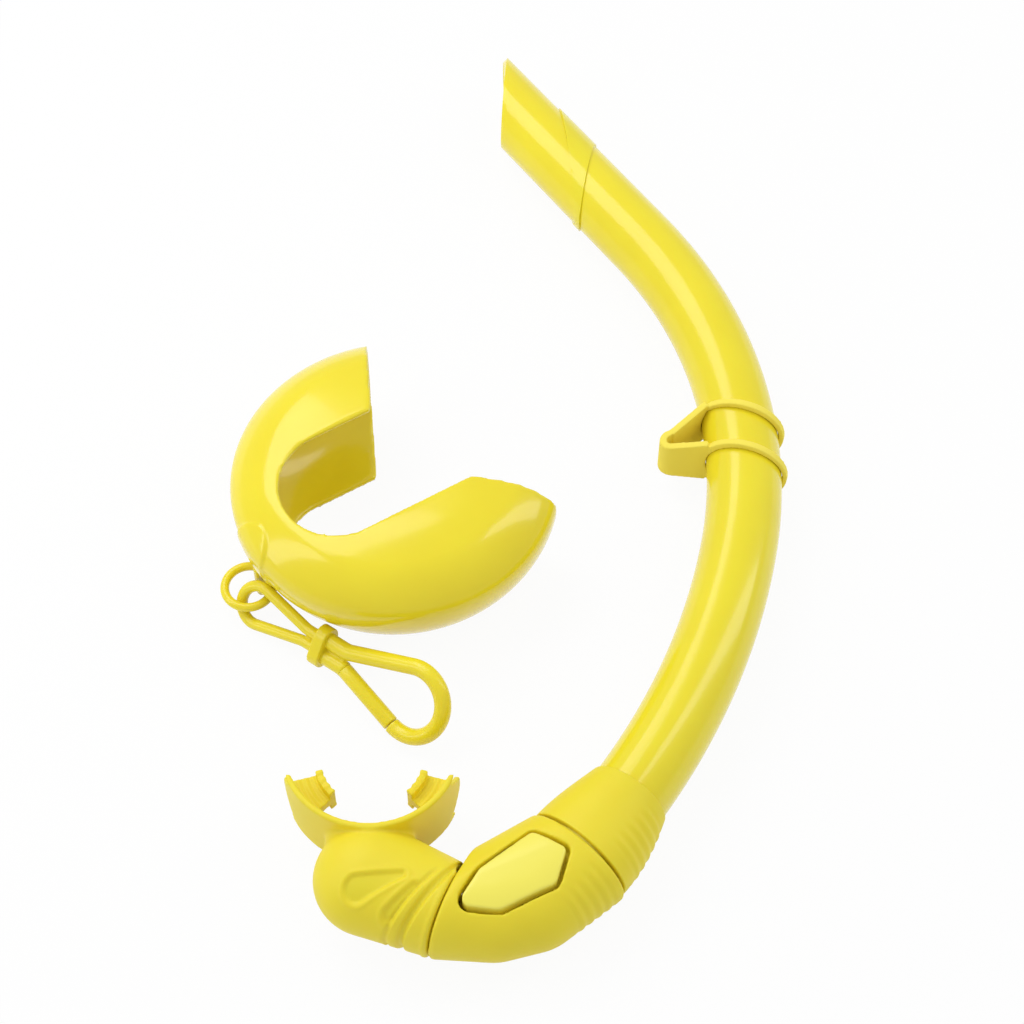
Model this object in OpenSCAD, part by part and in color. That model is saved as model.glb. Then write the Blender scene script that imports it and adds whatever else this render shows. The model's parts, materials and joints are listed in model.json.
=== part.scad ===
// Roll-up silicone snorkel with mask keeper, purge chamber, mouthpiece,
// and its horseshoe storage case with ring and snap clip, all lying on one floor.
// +Y runs towards the open top of the tube, +Z is up, and the floor is z = 0.

/* [Tube] */
// Outside diameter of the breathing tube
tube_od = 27.5; // [22:0.5:34]
// Wall thickness of the breathing tube
tube_wall = 2.75; // [1.5:0.25:4]
// Length of the straight top part, measured on the axis
straight_len = 92; // [80:1:130]
// Angle between the cut top and the axis
cut_angle = 40; // [30:1:70]
// Angle that the straight part makes with the +X direction
straight_lean = 54; // [45:1:65]
// Bend radius of the upper stretch
upper_bend_r = 180; // [150:1:230]
// Angle turned by the upper stretch
upper_bend = 47.3; // [35:0.1:60]
// Bend radius of the lower stretch
lower_bend_r = 263; // [200:1:350]
// Angle turned by the lower stretch, down to the seam
lower_bend = 29.7; // [20:0.1:40]
// How far the tip band stands above the tube
band_proud = 0.7; // [0.3:0.1:1.5]
// Height of the band's upper edge on the outer side, above the bend
band_top = 74; // [60:1:78]
// Length of the band on the outer side of the tube
band_len = 25.5; // [15:0.5:30]
// Length of the band on the inner side of the tube
band_tail = 2.5; // [2:0.5:10]

/* [Collar and swivel] */
// Length of the collar
collar_len = 27.6; // [20:0.1:40]
// Wall of the collar at its thin upper lip
collar_lip = 0.9; // [0.6:0.1:3]
// Half of the collar's width at the seam
collar_half_w = 19.6; // [18.5:0.1:24]
// Width of the open groove at the seam
seam_gap = 1; // [0.6:0.1:2]
// Radius of the connector's spigot that the chamber turns on
spigot_r = 14.4; // [13:0.1:15]
// Length of the spigot past the seam
spigot_len = 5.4; // [4.8:0.1:5.6]
// Wall thickness of the connector
connector_wall = 1.8; // [1.2:0.1:2.6]
// Length of the connector inside the tube
connector_tail = 14; // [8:1:20]

/* [Chamber] */
// Half of the chamber's width
chamber_half_w = 20.4; // [19:0.1:24]
// Half of the chamber's height, which sets how high the axis lies
chamber_half_h = 16.5; // [16.5:0.1:20]
// Wall thickness of the chamber
chamber_wall = 2.4; // [1.8:0.1:3]
// Half of the width where the chamber meets the neck
neck_r = 16.4; // [15.8:0.1:18]
// Radius of the spigot that the mouthpiece is pushed on
neck_spigot_r = 13.4; // [12:0.1:14]
// Length of that spigot
neck_spigot_len = 11; // [9:0.5:15]

/* [Purge valve] */
// Radius of the port
port_r = 8; // [6:0.5:9]
// Radius of the flap
flap_r = 8.8; // [7:0.1:9.4]
// Thickness of the flap
flap_t = 0.8; // [0.5:0.1:1.2]
// How far the flap lifts
flap_lift = 1.2; // [0.6:0.1:1.6]
// Thickness of the seat's hub and spokes
seat_t = 2; // [1.5:0.1:2.4]
// Width of the seat's ring round the port
seat_w = 2; // [1.5:0.1:2.4]
// Width of the open groove round the cover
cover_groove = 1.3; // [0.8:0.1:2]
// How far the cover stands above the chamber
cover_proud = 0.7; // [0:0.1:1.5]

/* [Mouthpiece] */
// Outside radius of the gum flange
flange_r = 30.5; // [27:0.5:34]
// Height of the flange
flange_h = 29; // [24:0.5:32]
// Thickness of the flange
flange_t = 2.2; // [1.5:0.1:3]
// Angle of the flange's arch from middle to tip
flange_half_arc = 79; // [65:1:85]
// Width of the mouth opening
mouth_w = 23; // [18:0.5:26]
// Height of the mouth opening
mouth_h = 12; // [9:0.5:14]
// Wall round the mouth opening
mouth_wall = 3.6; // [2:0.1:5]
// Radius of the elbow's bulb
bulb_r = 19; // [17:0.1:21]
// Width of a bite web, from flange to lug
web_w = 8.6; // [6:0.1:11]
// Thickness of a bite web
web_t = 4; // [3:0.1:6]
// Height of a bite lug
lug_h = 11; // [8:0.5:14]
// Thickness of a bite lug
lug_t = 2.4; // [1.8:0.1:3.5]
// Angle covered by each bite web
bite_arc = 31; // [20:1:40]

/* [Keeper] */
// Thickness of the keeper's strip
keeper_t = 2.6; // [2:0.1:3.5]
// Wall of the keeper outside the tube
keeper_wall = 2.75; // [2:0.05:3.2]
// Distance between the keeper's two rings along the tube
keeper_spread = 18; // [12:0.5:24]
// Turn of the rings from square across the tube
keeper_skew = 16; // [0:1:20]
// Distance from the tube's axis to the keeper's fold
keeper_reach = 31; // [26:0.5:38]
// Width of the strip at the fold
keeper_fold_w = 16; // [12:0.5:24]
// Width of the strip where its legs meet the rings
keeper_leg_w = 26; // [20:0.5:28]

/* [Case] */
// Outside radius of the case
case_r = 59.5; // [50:0.5:75]
// Height of the case
case_h = 46; // [40:0.5:60]
// Wall thickness of the case
case_wall = 2.2; // [1.5:0.1:3]
// Rounding of the case's upper edge
case_top_r = 16; // [12:0.5:20]
// Rounding of the case's lower edge
case_low_r = 29; // [22:0.5:29]
// Half of the width of the slot between the arms
slot_half_w = 21.6; // [18:0.1:25]
// Distance from the middle of the case to the closed end of the slot
slot_reach = 43.5; // [38:0.5:46]
// Width of the tab
tab_w = 18.6; // [14:0.1:24]
// Height of the tab's round top
tab_top = 40; // [32:0.5:42]

/* [Ring and clip] */
// Middle radius of the ring
ring_r = 8.7; // [8:0.1:11]
// Radius of the ring's wire
ring_wire = 1.6; // [1.2:0.1:1.7]
// Radius of the bar that holds the ring
bar_r = 2; // [1.5:0.1:2.4]
// Radius of the clip's thick strand
clip_wire = 3; // [2.4:0.1:3.4]
// Radius of the clip's thin strand
eye_wire = 2.1; // [1.6:0.1:2.4]
// Middle radius of the round end of the clip's hook
hook_r = 12.6; // [10:0.1:15]
// Distance from the waist to the middle of that round end
hook_reach = 40.5; // [34:0.5:48]
// Middle radius of the round end of the clip's eye
eye_r = 7.2; // [6.6:0.1:8.6]
// Distance from the waist to the middle of that round end
eye_reach = 30; // [26:0.5:34]
// Angle at which the clip leans on the case
clip_lean = 50.4; // [42:0.1:58]

/* [Hidden] */
$fn = 64;
hull_fn = 32;
bend_fn = 180;
slack = 1;
sliding = 0.3;
running = 0.05;

// Heights and radii that follow
axis_z = chamber_half_h;
tube_r = tube_od / 2;
bore_r = tube_r - tube_wall;

// Middles of the bends, and the angles at which the stretches meet
upper_c = [-94.6, 9.9];
lean_a = 90 - straight_lean;
knee_a = lean_a - upper_bend;
seam_a = knee_a - lower_bend;
lower_c = upper_c + polar(upper_bend_r - lower_bend_r, knee_a);
bend_start = upper_c + polar(upper_bend_r, lean_a);
seam = lower_c + polar(lower_bend_r, seam_a);
seam_dir = seam_a - 90;

// The tube stops inside the collar, where the connector's shoulder begins
shoulder_len = 6;
tube_end_a = seam_a + arc_deg(shoulder_len, lower_bend_r);
tail_a = tube_end_a + arc_deg(connector_tail, lower_bend_r);
shoulder_r = 15.2;
bead_out = 0.6;
bead_from = 6;
swivel_bead_from = 2.2;
bead_len = 1.8;

// Middles along the chamber and the neck
chamber_a = [5.5, -160.3];
chamber_b = [-6, -164];
neck = [-21, -166.4];
neck_dir = 157;
neck_gap = 0.6;
bulb = neck + polar(28, neck_dir);

// Purge valve, on the upper side of the chamber
purge_c = [1.5, -158.6];
pocket_z = axis_z + chamber_half_h * 0.63;
cover_top = axis_z + chamber_half_h;
cover_line = [[-16.5, -168.5], [-10.5, -158.5], [6.5, -144.8],
    [18, -151.5], [14.4, -163.5], [-4, -172.6], [-15.5, -171.4]];
stem_r = 1.2;
hub_r = 2.8;
spoke_w = 1.6;

// Flange
flange_c = [-47.3, -113];

// Keeper, where it sits on the upper bend
keeper_a = 2.4;
keeper_c = upper_c + polar(upper_bend_r, keeper_a);
keeper_r = tube_r + keeper_wall;
fold_r = 4.3;
keeper_fit = 0.2;
fold_c = keeper_c + [-keeper_reach + fold_r, -2];

// Case: its middle, and the direction from the middle to the closed end
case_c = [-42, -5.5];
case_dir = 211;
left_end_a = 64;
right_end_a = -38.5;
wedge_back = 7.7;
tab_proud = 0.8;
tab_low = 13;

// Ring and its bar, in front of the closed end
ring_z = 8;
bar_reach = 57;
ring_reach = bar_reach - bar_r - sliding - ring_wire + ring_r;
ring_c = case_c + polar(ring_reach, case_dir);
foot_z = 3;

// Clip: the waist sits at the origin of its own plane, the hook runs along +X
clip_turn = 5.9;
clip_dir = -40.5;
clip_waist = [-67.1, -63.15, 10.4];
waist_gap = clip_wire + 0.1;
eye_gap = eye_wire + 0.3;
flare_r = 9;
flare_x = 9;
eye_flare_x = -7;
gate_slit = 0.4;
gate_wire = clip_wire - 0.15;
waist_collar_len = 4.6;

// Outline of the whole object, so that its middle can be put over the origin
left_x = ring_c[0] - ring_r - ring_wire;
right_x = keeper_c[0] + keeper_r * cos(keeper_skew) + keeper_t / 2 * sin(keeper_skew);
tip = bend_start + polar(straight_len + tube_r / tan(cut_angle), lean_a + 90) + polar(tube_r, lean_a);
low_y = chamber_b[1] - (chamber_half_w - 1);
shift = [-(left_x + right_x) / 2, -(tip[1] + low_y) / 2, 0];

function polar(r, a) = [r * cos(a), r * sin(a)];
function arc_deg(len, r) = len / r * 180 / PI;

// Places children on the plan at p, with +Z turned to lie along direction a
module along(p, a) translate([p[0], p[1], axis_z]) rotate([0, 0, a]) rotate([0, 90, 0]) children();

// A round bar bent about the centre c, between two angles
module bent(c, bend_r, r, from_a, to_a)
    translate([c[0], c[1], axis_z]) rotate([0, 0, from_a])
        rotate_extrude(angle = to_a - from_a, $fn = bend_fn) translate([bend_r, 0]) circle(r = r, $fn = 64);

// A hollow pipe bent about the centre c, between two angles
module bent_pipe(c, bend_r, r_out, r_in, from_a, to_a)
    translate([c[0], c[1], axis_z]) rotate([0, 0, from_a])
        rotate_extrude(angle = to_a - from_a, $fn = bend_fn) translate([bend_r, 0]) difference() {
            circle(r = r_out, $fn = 64);
            circle(r = r_in, $fn = 64);
        }

// The tube is one moulding in three stretches that meet face to face
module tube_top() color([0.97, 0.88, 0.1]) difference() {
    along(bend_start, lean_a + 90) cylinder(r = tube_r, h = straight_len + 2 * tube_r);
    along(bend_start, lean_a + 90) translate([0, 0, -slack]) cylinder(r = bore_r, h = straight_len + 3 * tube_r);
    // The slanted cut at the open top
    along(bend_start + polar(straight_len, lean_a + 90), lean_a + 90)
        rotate([cut_angle - 90, 0, 0]) translate([-40, -60, 0]) cube([80, 120, 80]);
}

module tube_bend() color([0.97, 0.88, 0.1]) bent_pipe(upper_c, upper_bend_r, tube_r, bore_r, knee_a, lean_a);

module tube_lower() color([0.97, 0.88, 0.1]) bent_pipe(lower_c, lower_bend_r, tube_r, bore_r, tube_end_a, knee_a);

// A sleeve on the straight part, wide on the outer side and narrow on the inner
module tip_band() color([0.97, 0.88, 0.1]) {
    side = tube_r + band_proud;
    low_out = band_top - band_len;
    low_in = 22;
    translate([bend_start[0], bend_start[1], 0]) rotate([0, 0, lean_a]) intersection() {
        translate([0, 0, axis_z]) rotate([-90, 0, 0]) difference() {
            translate([0, 0, low_in - slack]) cylinder(r = side, h = band_top - low_in + 2 * slack);
            cylinder(r = tube_r, h = band_top + 3 * slack);
        }
        linear_extrude(2 * axis_z) polygon([[side, low_out], [side, band_top],
            [-side, low_in + band_tail], [-side, low_in]]);
    }
}

module oval(half_w, half_h, h) linear_extrude(h) scale([half_h / half_w, 1]) circle(r = half_w, $fn = hull_fn * 2);

// The collar flares from the tube to the oval seam
module collar() color([0.95, 0.87, 0.12]) difference() {
    lip_r = tube_r + collar_lip;
    hull() {
        along(seam, seam_dir) translate([0, 0, -collar_len]) oval(lip_r, lip_r, slack);
        along(seam, seam_dir) translate([0, 0, -collar_len * 0.4]) oval(collar_half_w * 0.93, axis_z * 0.96, slack);
        along(seam, seam_dir) translate([0, 0, -slack]) oval(collar_half_w, axis_z, slack);
    }
    bent(lower_c, lower_bend_r, tube_r, tube_end_a, knee_a);
    bent(lower_c, lower_bend_r, shoulder_r, seam_a - 1, tube_end_a);
}

// Barrel in the tube and shoulder in the collar, both bent as the tube is
module connector() color([0.9, 0.82, 0.1]) difference() {
    union() {
        bent(lower_c, lower_bend_r, bore_r, tube_end_a - arc_deg(slack, lower_bend_r), tail_a);
        bent(lower_c, lower_bend_r, shoulder_r, seam_a, tube_end_a);
    }
    bent(lower_c, lower_bend_r, bore_r - connector_wall, seam_a - 1, tail_a + 1);
}

// Spigot with a bead, on the connector's face, that the chamber turns on
module spigot() color([0.9, 0.82, 0.1]) along(seam, seam_dir) rotate_extrude() {
    in_r = bore_r - connector_wall;
    translate([in_r, 0]) square([spigot_r - in_r, spigot_len]);
    translate([in_r, swivel_bead_from]) square([spigot_r + bead_out - in_r, bead_len]);
}

// A flattened ball of the chamber
module ball(p, half_w, half_h)
    translate([p[0], p[1], axis_z]) scale([1, 1, half_h / half_w]) sphere(r = half_w, $fn = hull_fn);

// The chamber's outer form when inset is 0, its hollow when inset is the wall
module chamber_form(inset, start) hull() {
    half_w = chamber_half_w - inset;
    half_h = chamber_half_h - inset;
    along(seam, seam_dir) translate([0, 0, start]) oval(half_w, half_h, slack);
    ball(chamber_a, half_w - 0.3, half_h);
    ball(chamber_b, half_w - 1, half_h);
    along(neck, neck_dir) translate([0, 0, -slack - inset]) oval(neck_r - inset, neck_r - inset, slack);
}

module cover_prism(grow, from_z, to_z)
    translate([0, 0, from_z]) linear_extrude(to_z - from_z) offset(delta = grow) polygon(cover_line);

module chamber() color([0.95, 0.87, 0.12]) difference() {
    union() {
        difference() {
            chamber_form(0, seam_gap);
            // Flat where the neck meets the elbow
            along(neck, neck_dir) cylinder(r = 2 * chamber_half_w, h = chamber_half_w);
        }
        along(neck, neck_dir) translate([0, 0, -slack]) cylinder(r = neck_spigot_r, h = neck_spigot_len + slack);
        along(neck, neck_dir) translate([0, 0, bead_from]) cylinder(r = neck_spigot_r + bead_out, h = bead_len);
    }
    difference() {
        chamber_form(chamber_wall, spigot_len - slack / 2);
        cover_prism(cover_groove + chamber_wall, pocket_z - chamber_wall, 2 * cover_top);
    }
    cover_prism(cover_groove, pocket_z, 2 * cover_top);
    translate([purge_c[0], purge_c[1], pocket_z - 2 * chamber_wall]) cylinder(r = port_r + seat_w, h = 2 * chamber_wall + slack);
    along(seam, seam_dir) cylinder(r = spigot_r + running, h = spigot_len + running);
    along(seam, seam_dir) translate([0, 0, swivel_bead_from - sliding])
        cylinder(r = spigot_r + bead_out + sliding, h = bead_len + 2 * sliding);
    along(neck, neck_dir) translate([0, 0, -3 * chamber_wall])
        cylinder(r = neck_spigot_r - chamber_wall, h = neck_spigot_len + 4 * chamber_wall);
}

module at_purge(z) translate([purge_c[0], purge_c[1], z]) children();

// Ring with a spoked hub that carries the flap's stem
module purge_seat() color([0.9, 0.82, 0.1]) at_purge(pocket_z - chamber_wall) difference() {
    union() {
        difference() {
            cylinder(r = port_r + seat_w, h = chamber_wall);
            translate([0, 0, -slack]) cylinder(r = port_r, h = chamber_wall + 2 * slack);
        }
        cylinder(r = hub_r, h = seat_t);
        for (i = [0:3]) rotate([0, 0, 45 + 90 * i]) translate([0, -spoke_w / 2, 0]) cube([port_r + 0.5, spoke_w, seat_t]);
    }
    translate([0, 0, -slack]) cylinder(r = stem_r + running, h = chamber_wall + 2 * slack);
}

// Mushroom flap: disc, stem and the bead that holds it in the hub
module purge_flap() color([0.93, 0.9, 0.55]) at_purge(0) {
    translate([0, 0, pocket_z + 0.05]) cylinder(r = flap_r, h = flap_t);
    translate([0, 0, pocket_z - chamber_wall - flap_lift - 1.2]) cylinder(r = stem_r, h = chamber_wall + flap_lift + 1.3);
    translate([0, 0, pocket_z - chamber_wall - flap_lift - 1.4]) cylinder(r = stem_r + 0.7, h = 1.2);
}

// The glossy cover fills the pocket up to the chamber's own curve
module purge_cover() color([0.97, 0.9, 0.12]) difference() {
    intersection() {
        cover_prism(0, pocket_z, 2 * cover_top);
        chamber_form(-cover_proud, seam_gap);
    }
    at_purge(pocket_z - slack) cylinder(r = flap_r + 0.6, h = slack + flap_t + flap_lift + 0.4);
    for (i = [0:3]) at_purge(pocket_z - slack) rotate([0, 0, 25 + 90 * i])
        translate([0, -1.5, 0]) cube([24, 3, slack + flap_t + 0.8]);
}

// The mouth's stadium-shaped passage, running back from the flange to the bulb
module mouth_bar(w, h, from_y, to_y) {
    translate([flange_c[0], from_y, axis_z]) rotate([-90, 0, 0]) linear_extrude(to_y - from_y) {
        for (side = [-1, 1]) translate([side * (w - h) / 2, 0]) circle(d = h);
        square([w - h, h], center = true);
    }
}

module elbow_form(inset) {
    hull() {
        along(neck, neck_dir) translate([0, 0, inset > 0 ? neck_spigot_len + slack / 2 : neck_gap])
            oval(neck_r - inset, neck_r - inset, slack);
        ball(bulb, bulb_r - inset, axis_z - inset);
    }
    hull() {
        ball(bulb, bulb_r - inset, axis_z - inset);
        mouth_bar(mouth_w + 2 * (mouth_wall - inset), mouth_h + 2 * (mouth_wall - inset),
            flange_c[1] - flange_r - 4, flange_c[1] - flange_r - 3);
    }
}

module elbow() color([0.95, 0.87, 0.12]) difference() {
    union() {
        elbow_form(0);
        mouth_bar(mouth_w + 2 * mouth_wall, mouth_h + 2 * mouth_wall, flange_c[1] - flange_r - 4, flange_c[1] - flange_r + 6);
    }
    elbow_form(chamber_wall);
    mouth_bar(mouth_w, mouth_h, flange_c[1] - flange_r - 8, flange_c[1]);
    along(neck, neck_dir) translate([0, 0, -slack]) cylinder(r = neck_spigot_r + running, h = neck_spigot_len + 2 * slack);
    along(neck, neck_dir) translate([0, 0, bead_from - sliding])
        cylinder(r = neck_spigot_r + bead_out + sliding, h = bead_len + 2 * sliding);
    translate([flange_c[0], flange_c[1], 0]) cylinder(r = flange_r, h = 2 * axis_z + slack);
}

// A band bent about the flange's middle, between two angles off the mouth's axis
module arch(r_in, r_out, h, from_a, to_a)
    translate([flange_c[0], flange_c[1], axis_z - h / 2]) rotate([0, 0, -90 + from_a])
        rotate_extrude(angle = to_a - from_a) translate([r_in, 0]) square([r_out - r_in, h]);

module mouth_flange() color([0.95, 0.87, 0.12]) difference() {
    arch(flange_r - flange_t, flange_r, flange_h, -flange_half_arc, flange_half_arc);
    mouth_bar(mouth_w, mouth_h, flange_c[1] - flange_r - slack, flange_c[1] - flange_r / 2);
    // The tips are narrower than the middle
    for (side = [-1, 1], up = [-1, 1])
        translate([flange_c[0] + side * flange_r, flange_c[1], axis_z + up * flange_h / 2])
            rotate([up * 38, 0, 0]) cube([flange_r, 24, 13], center = true);
}

// Web that the teeth close on, with the upright lug behind them
module bite(side) {
    from_a = side > 0 ? flange_half_arc - bite_arc - 4 : -flange_half_arc + 4;
    web_out = flange_r - flange_t;
    arch(web_out - web_w, web_out, web_t, from_a, from_a + bite_arc);
    arch(web_out - web_w - lug_t, web_out - web_w, lug_h, from_a, from_a + bite_arc);
}

module bite_left() color([0.95, 0.87, 0.12]) bite(-1);
module bite_right() color([0.95, 0.87, 0.12]) bite(1);

// Where a leg leaves the fold, where it meets its ring's edge, and the middle of that ring
function leg_from(side) = fold_c + [0, side * (fold_r - keeper_t / 2)];
function ring_mid(side) = keeper_c + [0, side * keeper_spread / 2];
function leg_to(side) = ring_mid(side) + polar(-keeper_r + keeper_t, -keeper_skew);

// The strip seen from above: a half round fold with two straight legs
module keeper_strip() {
    difference() {
        translate(fold_c) circle(r = fold_r);
        translate(fold_c) circle(r = fold_r - keeper_t);
        translate(fold_c + [0, -2 * fold_r]) square(4 * fold_r);
    }
    for (side = [-1, 1]) {
        run = leg_to(side) - leg_from(side);
        translate(leg_from(side)) rotate(atan2(run[1], run[0])) translate([0, -keeper_t / 2]) square([norm(run), keeper_t]);
    }
}

module keeper() color([0.96, 0.85, 0.15]) difference() {
    union() {
        for (side = [-1, 1]) translate([ring_mid(side)[0], ring_mid(side)[1], axis_z])
            rotate([0, 0, -keeper_skew]) rotate([90, 0, 0]) cylinder(r = keeper_r, h = keeper_t, center = true);
        // The strip is narrow at the fold and wide at the rings
        intersection() {
            linear_extrude(2 * axis_z) keeper_strip();
            translate([0, keeper_c[1] + 3 * keeper_spread, axis_z]) rotate([90, 0, 0]) linear_extrude(6 * keeper_spread)
                polygon([[fold_c[0] - fold_r - slack, -keeper_fold_w / 2], [keeper_c[0], -keeper_leg_w / 2],
                    [keeper_c[0], keeper_leg_w / 2], [fold_c[0] - fold_r - slack, keeper_fold_w / 2]]);
        }
    }
    bent(upper_c, upper_bend_r, tube_r + keeper_fit, keeper_a - 12, keeper_a + 12);
}

// Half of the case's outline: a flat top and floor with a round belly between
module case_profile(inset) {
    r = case_r - inset;
    top = case_top_r - inset;
    low = case_low_r - inset;
    belly = case_h - case_top_r;
    union() {
        translate([0, inset]) square([r - low, case_h - 2 * inset]);
        translate([0, belly]) square([r - top, case_h - inset - belly]);
        intersection() {
            translate([r - top, belly]) circle(r = top);
            translate([0, belly]) square([r, top]);
        }
        intersection() {
            translate([r - low, inset + low]) circle(r = low);
            translate([0, inset]) square([r, low]);
        }
        translate([0, case_low_r]) square([r, belly - case_low_r]);
    }
}

module at_case() translate([case_c[0], case_c[1], 0]) rotate([0, 0, case_dir - 180]) children();

module case_form(inset) rotate_extrude() case_profile(inset);

module case_shell() color([0.97, 0.88, 0.1]) at_case() difference() {
    case_form(0);
    case_form(case_wall);
    // The slot between the arms
    translate([slot_half_w - slot_reach, 0, -slack]) cylinder(r = slot_half_w, h = case_h + 2 * slack);
    translate([slot_half_w - slot_reach, -slot_half_w, -slack]) cube([2 * case_r, 2 * slot_half_w, case_h + 2 * slack]);
    // The open side between the ends of the arms
    translate([-wedge_back, 0, -slack]) linear_extrude(case_h + 2 * slack)
        polygon([[0, 0], polar(3 * case_r, right_end_a), polar(3 * case_r, (left_end_a + right_end_a) / 2),
            polar(3 * case_r, left_end_a)]);
}

// A low panel with a round top that follows the case's belly
module case_tab() color([0.97, 0.88, 0.1]) at_case() difference() {
    intersection() {
        case_form(-tab_proud);
        union() {
            translate([-2 * case_r, -tab_w / 2, tab_low]) cube([1.5 * case_r, tab_w, tab_top - tab_w / 2 - tab_low]);
            translate([-2 * case_r, 0, tab_top - tab_w / 2]) rotate([0, 90, 0]) cylinder(d = tab_w, h = 1.5 * case_r);
        }
    }
    case_form(0);
}

// Upright bar that stands off the case, so that the ring can turn round it
module case_bar() color([0.97, 0.88, 0.1]) at_case() difference() {
    union() {
        translate([-bar_reach, 0, foot_z - bar_r]) cylinder(r = bar_r, h = tab_low + 4 - foot_z + bar_r);
        translate([-bar_reach, -bar_r, foot_z - bar_r]) cube([bar_reach - slot_reach, 2 * bar_r, 2 * bar_r]);
        translate([-bar_reach, -bar_r, tab_low]) cube([bar_r * 3, 2 * bar_r, 4]);
    }
    case_form(0);
    intersection() {
        case_form(-tab_proud);
        translate([-2 * case_r, -tab_w / 2, tab_low]) cube([2 * case_r, tab_w, tab_w]);
    }
}

module case_ring() color([0.96, 0.86, 0.12]) translate([ring_c[0], ring_c[1], ring_z])
    rotate_extrude() translate([ring_r, 0]) circle(r = ring_wire);

// The clip's own plane: X along the clip, Y up its lean
module at_clip() translate(clip_waist) rotate([0, 0, clip_dir]) rotate([clip_lean, 0, 0]) rotate([0, 0, clip_turn]) children();

module strand(p, q, r) {
    run = q - p;
    translate([p[0], p[1], 0]) rotate([0, 0, atan2(run[1], run[0])]) rotate([0, 90, 0]) cylinder(r = r, h = norm(run));
}

module curl(c, bend_r, r, from_a, to_a)
    translate([c[0], c[1], 0]) rotate([0, 0, from_a]) rotate_extrude(angle = to_a - from_a) translate([bend_r, 0]) circle(r = r);

// Where the straight strand meets a loop's round end, as an angle round that end
function end_a(reach, end_r, flare_at, gap) =
    let (dx = flare_at - reach, dy = gap + flare_r)
    atan2(dy, dx) - acos((end_r + flare_r) / norm([dx, dy]));

hook_a = end_a(hook_reach, hook_r, flare_x, waist_gap);
hook_p = [hook_reach, 0] + polar(hook_r, hook_a);
flare_p = [flare_x, waist_gap + flare_r] - polar(flare_r, hook_a);
eye_a = end_a(eye_reach, eye_r, -eye_flare_x, eye_gap);
eye_p = [eye_reach, 0] + polar(eye_r, eye_a);
eye_flare_p = [-eye_flare_x, eye_gap + flare_r] - polar(flare_r, eye_a);

// One side of the hook: out of the waist, round the flare and up the straight
module hook_side(to_p) {
    strand([0, waist_gap], [flare_x, waist_gap], clip_wire);
    curl([flare_x, waist_gap + flare_r], flare_r, clip_wire, -90, hook_a - 180);
    strand(flare_p, to_p, clip_wire);
}

module eye_side() {
    strand([0, eye_gap], [-eye_flare_x, eye_gap], eye_wire);
    curl([-eye_flare_x, eye_gap + flare_r], flare_r, eye_wire, -90, eye_a - 180);
    strand(eye_flare_p, eye_p, eye_wire);
}

// The gate turns about the end of the lower flare
gate_root = [flare_p[0], -flare_p[1]];
gate_tip = [hook_p[0], -hook_p[1]];
gate_dir = atan2(gate_tip[1] - gate_root[1], gate_tip[0] - gate_root[0]);

module clip_frame() color([0.96, 0.86, 0.12]) at_clip() difference() {
    union() {
        hook_side(hook_p);
        curl([hook_reach, 0], hook_r, clip_wire, -hook_a, hook_a);
        mirror([0, 1, 0]) strand([0, waist_gap], [flare_x, waist_gap], clip_wire);
        mirror([0, 1, 0]) curl([flare_x, waist_gap + flare_r], flare_r, clip_wire, -90, hook_a - 180);
        mirror([1, 0, 0]) eye_side();
        mirror([1, 0, 0]) mirror([0, 1, 0]) eye_side();
        mirror([1, 0, 0]) curl([eye_reach, 0], eye_r, eye_wire, -eye_a, eye_a);
    }
    translate([gate_root[0], gate_root[1], 0]) cylinder(r = clip_wire + sliding, h = 3 * clip_wire, center = true);
}

// Band moulded round the two strands at the waist
module clip_collar() color([0.96, 0.86, 0.12]) at_clip() {
    band_r = 4.7;
    difference() {
        rotate([0, 90, 0]) translate([0, 0, -waist_collar_len / 2]) linear_extrude(waist_collar_len) {
            for (side = [-1, 1]) translate([0, side * waist_gap]) circle(r = band_r);
            square([2 * band_r, 2 * waist_gap], center = true);
        }
        for (side = [-1, 1]) {
            translate([0, side * waist_gap, 0]) rotate([0, 90, 0]) cylinder(r = clip_wire, h = waist_collar_len);
            translate([-waist_collar_len, side * eye_gap, 0]) rotate([0, 90, 0]) cylinder(r = eye_wire, h = waist_collar_len);
        }
    }
}

// Sprung strand that lets a strap into the hook
module clip_gate() color([0.96, 0.86, 0.12]) at_clip() translate([gate_root[0], gate_root[1], 0]) {
    cylinder(r = clip_wire, h = 2 * clip_wire, center = true);
    rotate([0, 0, gate_dir]) rotate([0, 90, 0]) cylinder(r = gate_wire, h = norm(gate_tip - gate_root) - gate_slit);
}

module placed() translate(shift) children();

placed() tube_top();
placed() tube_bend();
placed() tube_lower();
placed() tip_band();
placed() collar();
placed() connector();
placed() spigot();
placed() chamber();
placed() purge_seat();
placed() purge_flap();
placed() purge_cover();
placed() elbow();
placed() mouth_flange();
placed() bite_left();
placed() bite_right();
placed() keeper();
placed() case_shell();
placed() case_tab();
placed() case_bar();
placed() case_ring();
placed() clip_frame();
placed() clip_collar();
placed() clip_gate();
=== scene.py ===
"""Makes the looks of a roll-up silicone snorkel with its mouthpiece, keeper, case, ring and snap clip.

The frame gives every place. Flat places are written in millimetres on the snorkel's own plan,
whose zero is found from the middle of the tube's upper bend.
"""

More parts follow.
